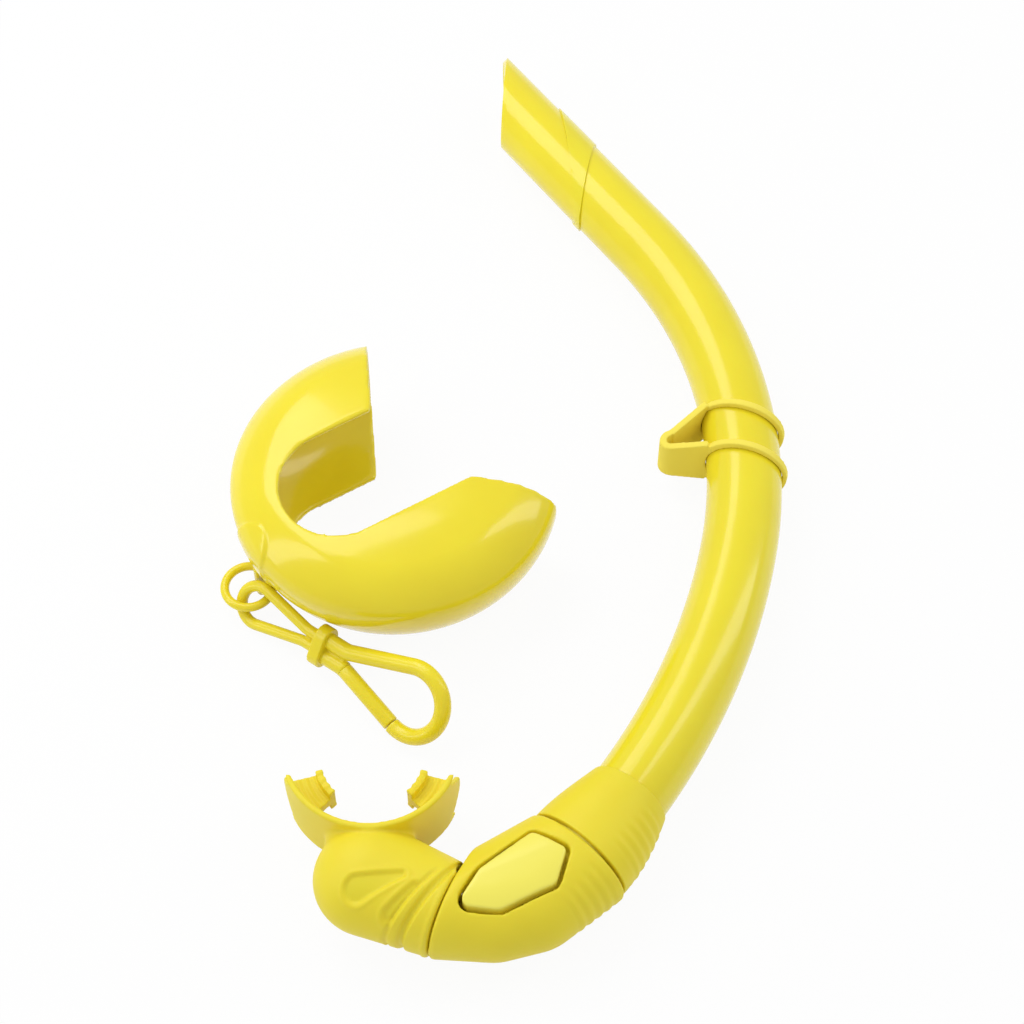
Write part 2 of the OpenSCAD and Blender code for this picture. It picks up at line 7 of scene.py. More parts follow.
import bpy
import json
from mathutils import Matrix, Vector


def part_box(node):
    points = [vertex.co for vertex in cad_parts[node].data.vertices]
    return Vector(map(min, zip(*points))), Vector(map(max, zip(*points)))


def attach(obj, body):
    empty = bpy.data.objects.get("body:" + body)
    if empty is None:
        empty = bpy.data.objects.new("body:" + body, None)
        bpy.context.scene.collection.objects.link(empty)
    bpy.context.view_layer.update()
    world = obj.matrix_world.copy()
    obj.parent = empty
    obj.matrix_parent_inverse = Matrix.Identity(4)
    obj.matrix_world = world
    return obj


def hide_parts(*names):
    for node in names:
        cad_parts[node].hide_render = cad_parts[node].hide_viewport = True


bl_info = {
    "name": "Roll-up Snorkel Maker",
    "version": (1, 0, 0),
    "blender": (4, 5, 0),
    "location": "View3D > Sidebar > Snorkel",
    "description": "Makes a silicone snorkel, its mouthpiece, keeper, storage case and snap clip",
    "category": "Object",
}

import json
from math import acos, atan2, cos, hypot, pi, radians, sin

import bmesh
import bpy
import numpy as np
from bpy.props import FloatProperty, FloatVectorProperty, PointerProperty
from bpy.types import Operator, Panel, PropertyGroup
from mathutils import Matrix, Vector

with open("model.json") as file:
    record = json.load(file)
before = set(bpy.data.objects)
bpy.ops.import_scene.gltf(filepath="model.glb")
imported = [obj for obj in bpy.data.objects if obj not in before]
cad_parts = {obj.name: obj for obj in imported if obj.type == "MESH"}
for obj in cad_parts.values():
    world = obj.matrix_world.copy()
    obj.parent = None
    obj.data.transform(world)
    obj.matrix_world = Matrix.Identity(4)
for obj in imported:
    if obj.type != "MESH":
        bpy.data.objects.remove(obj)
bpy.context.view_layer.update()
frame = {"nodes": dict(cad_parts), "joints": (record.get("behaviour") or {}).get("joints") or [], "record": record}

MM = 0.001
UP = Vector((0, 0, 1))
JOINTS = {joint["name"]: joint for joint in frame["joints"]}
MOUNTS = {mount["name"]: mount for mount in frame["record"]["mounts"]}


def pivot(name):
    """Where a joint sits, in metres."""
    return Vector(JOINTS[name]["pos_m"])


def heading(axis):
    """The plan angle of an axis, in radians."""
    return atan2(axis[1], axis[0])


def polar(length, angle):
    """A step on the plan, with the length in millimetres."""
    return Vector((length * MM * cos(angle), length * MM * sin(angle), 0))


# The tube's run on the plan: two bends and a straight top
UPPER_BEND = 180
LOWER_BEND = 263
STRAIGHT = 92
CUT_ANGLE = radians(40)
UPPER_MID = pivot("keeper_slide")
SEAM = pivot("chamber_swivel")
SEAM_DIR = heading(JOINTS["chamber_swivel"]["axis"])
NECK = pivot("mouthpiece_turn")
NECK_DIR = heading(JOINTS["mouthpiece_turn"]["axis"])
SEAM_ANGLE = SEAM_DIR + pi / 2
LOWER_MID = SEAM - polar(LOWER_BEND, SEAM_ANGLE)
KNEE_ANGLE = heading(UPPER_MID - LOWER_MID)
TOP_DIR = heading(MOUNTS["tube_shaft"]["axis"])
LEAN_ANGLE = TOP_DIR - pi / 2
BEND_START = UPPER_MID + polar(UPPER_BEND, LEAN_ANGLE)
AXIS_Z = UPPER_MID.z / MM
TUBE_R = MOUNTS["tube_shaft"]["dims"]["r_mm"]
BORE_R = MOUNTS["tube_bore"]["dims"]["r_mm"]
TUBE_WALL = TUBE_R - BORE_R
TUBE_END_ANGLE = SEAM_ANGLE + 6 / LOWER_BEND

# Where the plan's zero lies: the upper bend's middle is at (-94.6, 9.9) on the plan
PLAN_ZERO = UPPER_MID - Vector((-94.6 * MM, 9.9 * MM, UPPER_MID.z))


def plan(x, y, z=0.0):
    """A point of the plan, in metres."""
    return PLAN_ZERO + Vector((x * MM, y * MM, z * MM))


# ---------------------------------------------------------------- sizes that a user would change


class SiliconeSettings(PropertyGroup):
    """Colours and shine of the silicone and the moulded plastic."""

    tube_colour: FloatVectorProperty(
        name="Tube", description="Colour of the glossy tube", subtype="COLOR", min=0, max=1,
        default=(0.905, 0.775, 0.028))
    body_colour: FloatVectorProperty(
        name="Body", description="Colour of the matt collar, chamber and mouthpiece", subtype="COLOR",
        min=0, max=1, default=(0.90, 0.755, 0.032))
    keeper_colour: FloatVectorProperty(
        name="Keeper", description="Colour of the mask keeper", subtype="COLOR", min=0, max=1,
        default=(0.91, 0.70, 0.035))
    case_colour: FloatVectorProperty(
        name="Case", description="Colour of the case, ring and clip", subtype="COLOR", min=0, max=1,
        default=(0.905, 0.765, 0.026))
    gloss: FloatProperty(
        name="Gloss roughness", description="Roughness of the glossy pieces", subtype="FACTOR",
        min=0.05, max=0.6, default=0.2)
    matt: FloatProperty(
        name="Matt roughness", description="Roughness of the matt pieces", subtype="FACTOR",
        min=0.2, max=0.9, default=0.5)


class ReliefSettings(PropertyGroup):
    """Sizes of the moulded details, in millimetres."""

    rib_height: FloatProperty(
        name="Rib height", description="Height of the flex ribs beside the seam, in mm",
        min=0, max=1, default=0.2)
    rib_pitch: FloatProperty(
        name="Rib pitch", description="Distance between two flex ribs, in mm", min=2, max=6, default=3.7)
    leaf_depth: FloatProperty(
        name="Leaf depth", description="Depth of the leaf-shaped recesses, in mm",
        min=0, max=2, default=1.0)
    neck_depth: FloatProperty(
        name="Neck groove depth", description="Depth of the slanting grooves, in mm", min=0, max=2.2,
        default=1.35)
    tab_height: FloatProperty(
        name="Tab height", description="How far the case's tab stands out, in mm", min=0.2, max=0.8,
        default=0.75)


class StudioSettings(PropertyGroup):
    """Camera and lights."""

    camera_height: FloatProperty(
        name="Camera elevation", description="Angle above the horizon", subtype="ANGLE", unit="ROTATION",
        default=radians(57))
    camera_distance: FloatProperty(
        name="Camera distance", description="From the set's middle", unit="LENGTH", default=0.86)
    lens: FloatProperty(
        name="Lens", description="Focal length", unit="CAMERA", default=81.14)
    key_power: FloatProperty(
        name="Key light", description="Power of the large overhead soft box", unit="POWER", default=2.6)
    strip_power: FloatProperty(
        name="Strip lights", description="Power of each side strip", unit="POWER", default=0.9)
    ambient: FloatProperty(
        name="Ambient", description="Strength of the white surroundings", min=0, max=2, default=0.58)


def settings(part):
    """One of the three groups of settings."""
    return getattr(bpy.context.scene, "snorkel_" + part)


# ---------------------------------------------------------------- mesh tools


def new_piece(name, bm):
    """Closes a bmesh into an object at the origin, with smooth shading."""
    bmesh.ops.remove_doubles(bm, verts=bm.verts, dist=1e-6)
    bmesh.ops.recalc_face_normals(bm, faces=bm.faces)
    mesh = bpy.data.meshes.new(name)
    bm.to_mesh(mesh)
    bm.free()
    piece = bpy.data.objects.new(name, mesh)
    bpy.context.scene.collection.objects.link(piece)
    piece.data.shade_smooth()
    return piece


def settle(piece):
    """Applies the piece's modifiers, so that its mesh is the finished one."""
    graph = bpy.context.evaluated_depsgraph_get()
    mesh = bpy.data.meshes.new_from_object(piece.evaluated_get(graph))
    piece.modifiers.clear()
    old = piece.data
    piece.data = mesh
    bpy.data.meshes.remove(old)
    mesh.name = piece.name
    mesh.shade_smooth()
    return piece


def discard(pieces):
    """Takes away pieces that only served to cut others."""
    for piece in pieces:
        mesh = piece.data
        bpy.data.objects.remove(piece)
        bpy.data.meshes.remove(mesh)


def carve(piece, cutters, operation="DIFFERENCE"):
    """Cuts each cutter out of the piece, or keeps what they share."""
    for cutter in cutters:
        cut = piece.modifiers.new("cut", "BOOLEAN")
        cut.operation = operation
        cut.solver = "EXACT"
        cut.object = cutter
    settle(piece)
    discard(cutters)
    return piece


def mould(piece, grain, rounds):
    """Fuses and softens a piece as a mould does: an even fine mesh, with its edges rounded."""
    fuse = piece.modifiers.new("fuse", "REMESH")
    fuse.mode = "VOXEL"
    fuse.voxel_size = grain * MM
    soften = piece.modifiers.new("soften", "SMOOTH")
    soften.factor = 0.5
    soften.iterations = rounds
    return settle(piece)


def round_edges(piece, width, segments, sharper_than):
    """Rounds the edges that turn by more than an angle in degrees."""
    soft = piece.modifiers.new("edge", "BEVEL")
    soft.width = width * MM
    soft.segments = segments
    soft.limit_method = "ANGLE"
    soft.angle_limit = radians(sharper_than)
    return settle(piece)


def relief(piece, height_at):
    """Moves each point along its normal by height_at(places, normals), all in millimetres."""
    mesh = piece.data
    count = len(mesh.vertices)
    places = np.empty(count * 3)
    mesh.vertices.foreach_get("co", places)
    places = places.reshape(-1, 3)
    normals = np.empty(count * 3)
    mesh.vertex_normals.foreach_get("vector", normals)
    normals = normals.reshape(-1, 3)
    zero = np.array(PLAN_ZERO)
    heights = height_at((places - zero) / MM, normals)
    places = places + normals * (heights * MM)[:, None]
    mesh.vertices.foreach_set("co", places.ravel())
    mesh.update()
    return piece


def step(low, high, value):
    """0 below low, 1 above high and a smooth rise between."""
    share = np.clip((value - low) / (high - low), 0, 1)
    return share * share * (3 - 2 * share)


def station(origin, across, width, height):
    """Puts a unit circle square across a path: across points sideways, width and height in mm."""
    along = across.cross(UP)
    rows = Matrix((across * width * MM, UP * height * MM, along)).transposed()
    placed = rows.to_4x4()
    placed.translation = origin
    return placed


def loft(bm, stations, segments, closed=False, capped=True):
    """Draws a skin over circles that are set at the stations."""
    ring = bmesh.ops.create_circle(bm, segments=segments, radius=1)["verts"]
    bmesh.ops.transform(bm, matrix=stations[0], verts=ring)
    first = list({edge for vert in ring for edge in vert.link_edges})
    edges = first
    for before, after in zip(stations, stations[1:]):
        made = bmesh.ops.extrude_edge_only(bm, edges=edges)["geom"]
        verts = {item for item in made if isinstance(item, bmesh.types.BMVert)}
        edges = [item for item in made if isinstance(item, bmesh.types.BMEdge) and set(item.verts) <= verts]
        bmesh.ops.transform(bm, matrix=after @ before.inverted(), verts=list(verts))
    if closed:
        bmesh.ops.bridge_loops(bm, edges=first + edges)
    elif capped:
        bmesh.ops.edgeloop_fill(bm, edges=first)
        bmesh.ops.edgeloop_fill(bm, edges=edges)


def bend_stations(middle, bend_r, from_angle, to_angle, steps, width, height):
    """Stations round a bend of the plan."""
    turns = [from_angle + (to_angle - from_angle) * i / steps for i in range(steps + 1)]
    return [station(middle + polar(bend_r, a), polar(1 / MM, a), width, height) for a in turns]


def line_stations(origin, direction, distances, width, height):
    """Stations along a straight line of the plan."""
    across = polar(1 / MM, direction - pi / 2)
    return [station(origin + polar(d, direction), across, width, height) for d in distances]


def rod(name, origin, direction, from_d, to_d, width, height=None, segments=96):
    """A straight solid bar with a round or oval section."""
    bm = bmesh.new()
    loft(bm, line_stations(origin, direction, (from_d, to_d), width, height or width), segments)
    return new_piece(name, bm)


def upright(name, middle, radius, from_z, to_z, segments=96):
    """An upright solid cylinder; middle is on the plan."""
    bm = bmesh.new()
    place = Matrix.Translation(plan(*middle, (from_z + to_z) / 2))
    bmesh.ops.create_cone(bm, cap_ends=True, segments=segments, radius1=radius * MM, radius2=radius * MM,
                          depth=(to_z - from_z) * MM, matrix=place)
    return new_piece(name, bm)


def outset(outline, grow):
    """The outline moved outwards by grow, with its corners kept sharp."""
    moved = []
    count = len(outline)
    turn = sum(outline[i - 1][0] * outline[i][1] - outline[i][0] * outline[i - 1][1] for i in range(count))
    side = 1 if turn > 0 else -1
    for i in range(count):
        before, here, after = (Vector(outline[j % count]) for j in (i - 1, i, i + 1))
        a, b = (here - before).normalized(), (after - here).normalized()
        out_a, out_b = Vector((a.y, -a.x)) * side, Vector((b.y, -b.x)) * side
        moved.append(here + (out_a + out_b) * grow / (1 + out_a.dot(out_b)))
    return moved


def prism(name, outline, from_z, to_z, rounding=0.0):
    """An upright solid over an outline of the plan, with rounded upright edges."""
    bm = bmesh.new()
    base = bm.faces.new([bm.verts.new(plan(p[0], p[1], from_z)) for p in outline])
    made = bmesh.ops.extrude_face_region(bm, geom=[base])["geom"]
    top = [item for item in made if isinstance(item, bmesh.types.BMVert)]
    bmesh.ops.translate(bm, verts=top, vec=UP * (to_z - from_z) * MM)
    if rounding:
        edges = [e for e in bm.edges if abs(e.verts[0].co.z - e.verts[1].co.z) > MM]
        bmesh.ops.bevel(bm, geom=edges, offset=rounding * MM, segments=6, profile=0.5,
                        affect="EDGES", material=-1, clamp_overlap=True)
    return new_piece(name, bm)


def tight_skin(name, bm):
    """The convex skin over all points of a bmesh."""
    bmesh.ops.delete(bm, geom=bm.edges[:], context="EDGES_FACES")
    made = bmesh.ops.convex_hull(bm, input=bm.verts)
    inner = made["geom_interior"] + made["geom_unused"]
    loose = {item for item in inner if isinstance(item, bmesh.types.BMVert)}
    bmesh.ops.delete(bm, geom=list(loose), context="VERTS")
    return new_piece(name, bm)


def hull_form(name, balls, rings):
    """The tight skin over flattened balls and rings: (x, y, radius, half height) and stations."""
    bm = bmesh.new()
    for x, y, radius, half_height in balls:
        place = Matrix.Translation(plan(x, y, AXIS_Z)) @ Matrix.Diagonal((1, 1, half_height / radius, 1))
        bmesh.ops.create_uvsphere(bm, u_segments=128, v_segments=64, radius=radius * MM, matrix=place)
    for ring in rings:
        bmesh.ops.create_circle(bm, segments=128, radius=1, matrix=ring)
    return tight_skin(name, bm)


def join(name, pieces):
    """One piece that holds the meshes of several."""
    bm = bmesh.new()
    for piece in pieces:
        bm.from_mesh(piece.data)
    mesh = bpy.data.meshes.new(name)
    bm.to_mesh(mesh)
    bm.free()
    discard(pieces)
    joined = bpy.data.objects.new(name, mesh)
    bpy.context.scene.collection.objects.link(joined)
    return joined


def node_copy(name, *nodes):
    """A merged copy of CAD nodes."""
    bm = bmesh.new()
    for node in nodes:
        bm.from_mesh(frame["nodes"][node].data)
    bmesh.ops.remove_doubles(bm, verts=bm.verts, dist=1e-6)
    mesh = bpy.data.meshes.new(name)
    bm.to_mesh(mesh)
    bm.free()
    piece = bpy.data.objects.new(name, mesh)
    bpy.context.scene.collection.objects.link(piece)
    return piece


def finish_piece(piece, body, nodes, material):
    """Gives a piece its body and material, and hides the CAD nodes it replaces."""
    piece.data.materials.clear()
    piece.data.materials.append(material)
    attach(piece, body)
    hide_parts(*nodes)
    return piece


# ---------------------------------------------------------------- materials


def socket(group, name, kind, side, default=None):
    """Adds one named input or output to a node group."""
    made = group.interface.new_socket(name=name, in_out=side, socket_type=kind)
    if default is not None:
        made.default_value = default
    return made


def moulded_skin():
    """Node group: colour, roughness and fine relief of a moulded surface."""
    name = "Moulded Skin"
    if name in bpy.data.node_groups:
        return bpy.data.node_groups[name]
    group = bpy.data.node_groups.new(name, "ShaderNodeTree")
    socket(group, "Colour", "NodeSocketColor", "INPUT")
    socket(group, "Deep Colour", "NodeSocketColor", "INPUT")
    socket(group, "Mottle Scale", "NodeSocketFloat", "INPUT", 40)
    socket(group, "Roughness", "NodeSocketFloat", "INPUT", 0.4)
    socket(group, "Roughness Spread", "NodeSocketFloat", "INPUT", 0.1)
    socket(group, "Grain Scale", "NodeSocketFloat", "INPUT", 1500)
    socket(group, "Colour", "NodeSocketColor", "OUTPUT")
    socket(group, "Roughness", "NodeSocketFloat", "OUTPUT")
    socket(group, "Height", "NodeSocketFloat", "OUTPUT")
    nodes, links = group.nodes, group.links
    given = nodes.new("NodeGroupInput")
    result = nodes.new("NodeGroupOutput")
    place = nodes.new("ShaderNodeTexCoord")
    mottle = nodes.new("ShaderNodeTexNoise")
    mottle.inputs["Detail"].default_value = 4
    grain = nodes.new("ShaderNodeTexNoise")
    grain.inputs["Detail"].default_value = 3
    for noise, scale in ((mottle, "Mottle Scale"), (grain, "Grain Scale")):
        links.new(place.outputs["Object"], noise.inputs["Vector"])
        links.new(given.outputs[scale], noise.inputs["Scale"])
    share = nodes.new("ShaderNodeMapRange")
    share.inputs["From Min"].default_value = 0.35
    share.inputs["From Max"].default_value = 0.7
    links.new(mottle.outputs["Fac"], share.inputs["Value"])
    tint = nodes.new("ShaderNodeMix")
    tint.data_type = "RGBA"
    links.new(share.outputs["Result"], tint.inputs["Factor"])
    links.new(given.outputs["Colour"], tint.inputs["A"])
    links.new(given.outputs["Deep Colour"], tint.inputs["B"])
    links.new(tint.outputs["Result"], result.inputs["Colour"])
    centred = nodes.new("ShaderNodeMath")
    centred.operation = "SUBTRACT"
    centred.inputs[1].default_value = 0.5
    links.new(mottle.outputs["Fac"], centred.inputs[0])
    rough = nodes.new("ShaderNodeMath")
    rough.operation = "MULTIPLY_ADD"
    links.new(centred.outputs["Value"], rough.inputs[0])
    links.new(given.outputs["Roughness Spread"], rough.inputs[1])
    links.new(given.outputs["Roughness"], rough.inputs[2])
    links.new(rough.outputs["Value"], result.inputs["Roughness"])
    links.new(grain.outputs["Fac"], result.inputs["Height"])
    return group


def moulded(name, colour, roughness, spread, grain_scale, grain_depth, glow, coat):
    """A moulded silicone or plastic; glow is how much light passes under the skin."""
    if name in bpy.data.materials:
        return bpy.data.materials[name]
    material = bpy.data.materials.new(name)
    material.use_nodes = True
    nodes, links = material.node_tree.nodes, material.node_tree.links
    shader = nodes["Principled BSDF"]
    skin = nodes.new("ShaderNodeGroup")
    skin.node_tree = moulded_skin()
    skin.inputs["Colour"].default_value = (*colour, 1)
    skin.inputs["Deep Colour"].default_value = (colour[0] * 0.97, colour[1] * 0.955, colour[2] * 0.9, 1)
    skin.inputs["Roughness"].default_value = roughness
    skin.inputs["Roughness Spread"].default_value = spread
    skin.inputs["Grain Scale"].default_value = grain_scale
    links.new(skin.outputs["Colour"], shader.inputs["Base Color"])
    links.new(skin.outputs["Roughness"], shader.inputs["Roughness"])
    bump = nodes.new("ShaderNodeBump")
    bump.inputs["Strength"].default_value = grain_depth
    bump.inputs["Distance"].default_value = 0.1 * MM
    links.new(skin.outputs["Height"], bump.inputs["Height"])
    links.new(bump.outputs["Normal"], shader.inputs["Normal"])
    shader.inputs["Subsurface Weight"].default_value = glow
    shader.inputs["Subsurface Radius"].default_value = (1.0, 0.7, 0.1)
    shader.inputs["Subsurface Scale"].default_value = 2.5 * MM
    shader.inputs["IOR"].default_value = 1.43
    shader.inputs["Coat Weight"].default_value = coat
    shader.inputs["Coat Roughness"].default_value = 0.06
    return material


def glossy_silicone():
    """Smooth, shiny silicone of the tube."""
    look = settings("silicone")
    return moulded("glossy_silicone", look.tube_colour, look.gloss, 0.06, 900, 0.05, 0.15, 0.25)


def matt_silicone():
    """Satin silicone of the collar, chamber and mouthpiece."""
    look = settings("silicone")
    return moulded("matt_silicone", look.body_colour, look.matt, 0.1, 2600, 0.25, 0.2, 0.0)


def keeper_silicone():
    """Warmer silicone of the keeper."""
    look = settings("silicone")
    return moulded("keeper_silicone", look.keeper_colour, look.gloss + 0.16, 0.08, 1800, 0.15, 0.2, 0.0)


def cover_gloss():
    """Polished face of the purge cover."""
    look = settings("silicone")
    return moulded("cover_gloss", look.tube_colour, look.gloss - 0.04, 0.05, 900, 0.04, 0.1, 0.35)


def case_gloss():
    """Polished case."""
    look = settings("silicone")
    return moulded("case_gloss", look.case_colour, look.gloss - 0.02, 0.05, 700, 0.05, 0.12, 0.3)


def clip_gloss():
    """Shiny moulded ring and clip."""
    look = settings("silicone")
    return moulded("clip_gloss", look.case_colour, look.gloss + 0.06, 0.06, 1200, 0.08, 0.12, 0.15)


def inner_plastic():
    """Plain moulded plastic of the hidden pieces."""
    look = settings("silicone")
    return moulded("inner_plastic", look.body_colour, 0.45, 0.1, 1500, 0.2, 0.0, 0.0)


def flap_silicone():
    """Thin pale silicone of the flap."""
    return moulded("flap_silicone", (0.86, 0.78, 0.3), 0.4, 0.1, 1500, 0.1, 0.3, 0.0)


# ---------------------------------------------------------------- the tube


def slant_cut(bm, point, normal):
    """Cuts off what lies on the normal's side of a plane."""
    geometry = bm.verts[:] + bm.edges[:] + bm.faces[:]
    bmesh.ops.bisect_plane(bm, geom=geometry, plane_co=point, plane_no=normal, clear_outer=True)


def thicken(piece, thickness, offset, edge):
    """Gives a skin its wall, with rounded edges."""
    wall = piece.modifiers.new("wall", "SOLIDIFY")
    wall.thickness = thickness * MM
    wall.offset = offset
    return round_edges(piece, edge, 4, 35)


def band_plane(outer, inner, reach):
    """A plane square to the plan through the outer and inner sides of the straight top."""
    out, up_tube = polar(1 / MM, LEAN_ANGLE), polar(1 / MM, TOP_DIR)
    point = BEND_START + (out * reach + up_tube * outer) * MM
    along = (out * (-2 * reach) + up_tube * (inner - outer)).normalized()
    normal = along.cross(UP)
    if normal.dot(up_tube) < 0:
        normal.negate()
    return point, normal


class SNORKEL_OT_tube(Operator):
    """Makes the bent tube with its slanted open top"""

    bl_idname = "snorkel.tube"
    bl_label = "Tube"

    def execute(self, context):
        bm = bmesh.new()
        lower = bend_stations(LOWER_MID, LOWER_BEND, TUBE_END_ANGLE, KNEE_ANGLE, 44, TUBE_R, TUBE_R)
        upper = bend_stations(UPPER_MID, UPPER_BEND, KNEE_ANGLE, LEAN_ANGLE, 60, TUBE_R, TUBE_R)
        reach = STRAIGHT + 2 * TUBE_R
        distances = [reach * i / 24 for i in range(1, 25)]
        top = line_stations(BEND_START, TOP_DIR, distances, TUBE_R, TUBE_R)
        loft(bm, lower + upper[1:] + top, 112, capped=False)
        up_tube, out = polar(1 / MM, TOP_DIR), polar(1 / MM, LEAN_ANGLE)
        slant_cut(bm, BEND_START + up_tube * STRAIGHT * MM, up_tube * sin(CUT_ANGLE) - out * cos(CUT_ANGLE))
        piece = thicken(new_piece("tube", bm), TUBE_WALL, -1, 0.7)
        nodes = ("tube_top", "tube_bend", "tube_lower")
        finish_piece(piece, "tube", nodes, glossy_silicone())
        return {"FINISHED"}


class SNORKEL_OT_band(Operator):
    """Makes the thin wedge-shaped band round the tube's straight top"""

    bl_idname = "snorkel.band"
    bl_label = "Tip band"

    def execute(self, context):
        proud, skin = 0.66, 0.02
        bm = bmesh.new()
        distances = [16 + i * 2 for i in range(34)]
        radius = TUBE_R + skin
        loft(bm, line_stations(BEND_START, TOP_DIR, distances, radius, radius), 160, capped=False)
        point, normal = band_plane(74, 24.5, TUBE_R)
        slant_cut(bm, point, normal)
        point, normal = band_plane(48.5, 22, TUBE_R)
        slant_cut(bm, point, -normal)
        piece = thicken(new_piece("tip_band", bm), proud, 1, 0.3)
        finish_piece(piece, "tube", ("tip_band",), glossy_silicone())
        return {"FINISHED"}


# ---------------------------------------------------------------- collar, chamber and purge cover

COLLAR_LEN = 27.6
SEAM_GAP = 1.0
CHAMBER_HALF_W = 20.4
CHAMBER_WALL = 2.4
CHAMBER_A = (5.5, -160.3)
CHAMBER_B = (-6, -164)
NECK_R = 16.4
NECK_SPIGOT_R = 13.4
NECK_SPIGOT_LEN = 11
SWIVEL_LEN = 5.4
SWIVEL_R = 14.5
POCKET_Z = 26.9
GROOVE = 1.3
PURGE_MID = (1.5, -158.6)
COVER_LINE = ((-16.5, -168.5), (-10.5, -158.5), (6.5, -144.8), (18, -151.5), (14.4, -163.5), (-4, -172.6),
              (-15.5, -171.4))


def seam_places(places):
    """How far each place lies past the seam, and to its outer side, in millimetres."""
    seam = (np.array(SEAM) - np.array(PLAN_ZERO)) / MM
    away = places[:, :2] - seam[:2]
    along = away @ (cos(SEAM_DIR), sin(SEAM_DIR))
    outer = away @ (-sin(SEAM_DIR), cos(SEAM_DIR))
    return along, outer


def flex_ribs(places, from_d, to_d):
    """Faint ribs square to the seam's axis, on the bend's outer flank."""
    size = settings("relief")
    along, outer = seam_places(places)
    flank = step(7, 12, outer)
    low, high = min(from_d, to_d), max(from_d, to_d)
    reach = step(low, low + 3, along) * (1 - step(high - 5, high, along))
    return size.rib_height * flank * reach * np.cos(2 * pi * along / size.rib_pitch)


class SNORKEL_OT_collar(Operator):
    """Makes the flared collar with its faint flex ribs"""

    bl_idname = "snorkel.collar"
    bl_label = "Collar"

    def execute(self, context):
        lip, half_w, half_h, bore = TUBE_R + 0.9, 19.6, AXIS_Z, TUBE_R + 0.02
        steps = 56
        outer, inner = [], []
        for i in range(steps + 1):
            share = i / steps
            angle = SEAM_ANGLE + COLLAR_LEN * (1 - share) / LOWER_BEND
            rise = sin(share * pi / 2)
            origin, across = LOWER_MID + polar(LOWER_BEND, angle), polar(1 / MM, angle)
            outer.append(station(origin, across, lip + (half_w - lip) * rise, lip + (half_h - lip) * rise))
            inner.append(station(origin, across, bore, bore))
        bm = bmesh.new()
        loft(bm, outer + inner[::-1], 144, closed=True)
        piece = round_edges(new_piece("collar", bm), 0.45, 4, 40)
        relief(piece, lambda places, normals: flex_ribs(places, -26, -3))
        finish_piece(piece, "tube", ("collar",), matt_silicone())
        return {"FINISHED"}


def chamber_form(name, inset, start):
    """The chamber's rounded form, moved inwards by inset, from start past the seam to the neck."""
    half_w, half_h = CHAMBER_HALF_W - inset, AXIS_Z - inset
    balls = [(*CHAMBER_A, half_w - 0.3, half_h), (*CHAMBER_B, half_w - 1, half_h)]
    rings = line_stations(SEAM, SEAM_DIR, (start, start + 1), half_w, half_h)
    neck = NECK_R - inset
    rings += line_stations(NECK, NECK_DIR, (-1 - inset, -inset), neck, neck)
    return hull_form(name, balls, rings)


def cover_prism(name, grow, from_z, to_z, rounding):
    """An upright solid over the purge cover's outline."""
    return prism(name, outset(COVER_LINE, grow), from_z, to_z, rounding)


class SNORKEL_OT_chamber(Operator):
    """Makes the hollow chamber with the pocket for the purge cover"""

    bl_idname = "snorkel.chamber"
    bl_label = "Chamber"

    def execute(self, context):
        high = 2 * AXIS_Z
        hollow = chamber_form("hollow", CHAMBER_WALL, SWIVEL_LEN - 0.5)
        carve(hollow, [cover_prism("roof", GROOVE + CHAMBER_WALL, POCKET_Z - CHAMBER_WALL, high + 10, 3)])
        body = chamber_form("body", 0, SEAM_GAP)
        carve(body, [rod("past_neck", NECK, NECK_DIR, 0, 30, 50)])
        spigot = rod("neck_spigot", NECK, NECK_DIR, -2, NECK_SPIGOT_LEN, NECK_SPIGOT_R)
        piece = mould(join("chamber", [body, spigot]), 0.7, 0)
        inside = mould(join("inside", [
            hollow,
            rod("swivel_bore", SEAM, SEAM_DIR, -2, SWIVEL_LEN, SWIVEL_R),
            rod("neck_bore", NECK, NECK_DIR, -3 * CHAMBER_WALL, 40, NECK_SPIGOT_R - CHAMBER_WALL),
            upright("seat_hole", PURGE_MID, 10, POCKET_Z - 2 * CHAMBER_WALL, POCKET_Z + 1),
        ]), 0.6, 0)
        carve(piece, [inside])
        carve(piece, [cover_prism("pocket", GROOVE, POCKET_Z, high + 10, 3.2)])
        mould(piece, 0.6, 5)
        relief(piece, lambda places, normals: flex_ribs(places, 2.5, 23) * (normals[:, 2] > -0.9))
        finish_piece(piece, "chamber", ("chamber",), matt_silicone())
        return {"FINISHED"}


class SNORKEL_OT_cover(Operator):
    """Makes the polished, crowned purge cover"""

    bl_idname = "snorkel.cover"
    bl_label = "Purge cover"

    def execute(self, context):
        piece = chamber_form("purge_cover", -0.55, SEAM_GAP)
        carve(piece, [cover_prism("panel", -0.1, POCKET_Z, 3 * AXIS_Z, 2.4)], "INTERSECT")
        carve(piece, [upright("flap_room", PURGE_MID, 9.4, POCKET_Z - 1, POCKET_Z + 2.4)])
        mould(piece, 0.4, 8)
        finish_piece(piece, "chamber", ("purge_cover",), cover_gloss())
        return {"FINISHED"}


# ---------------------------------------------------------------- mouthpiece

BULB_R = 19
FLANGE_MID = (-47.3, -113)
FLANGE_R = 30.5
MOUTH_W = 23
MOUTH_H = 12
MOUTH_WALL = 3.6
NECK_GAP = 0.6
BULB = ((NECK - PLAN_ZERO) / MM + polar(28, NECK_DIR) / MM)[:2]
# Leaf-shaped recesses: the wide end, the narrow end and their radii
LEAVES = (((-50.2, -164.6), (-35.5, -160.6), 4.6, 1.5), ((-40.0, -172.6), (-31.2, -164.2), 2.2, 1.3))


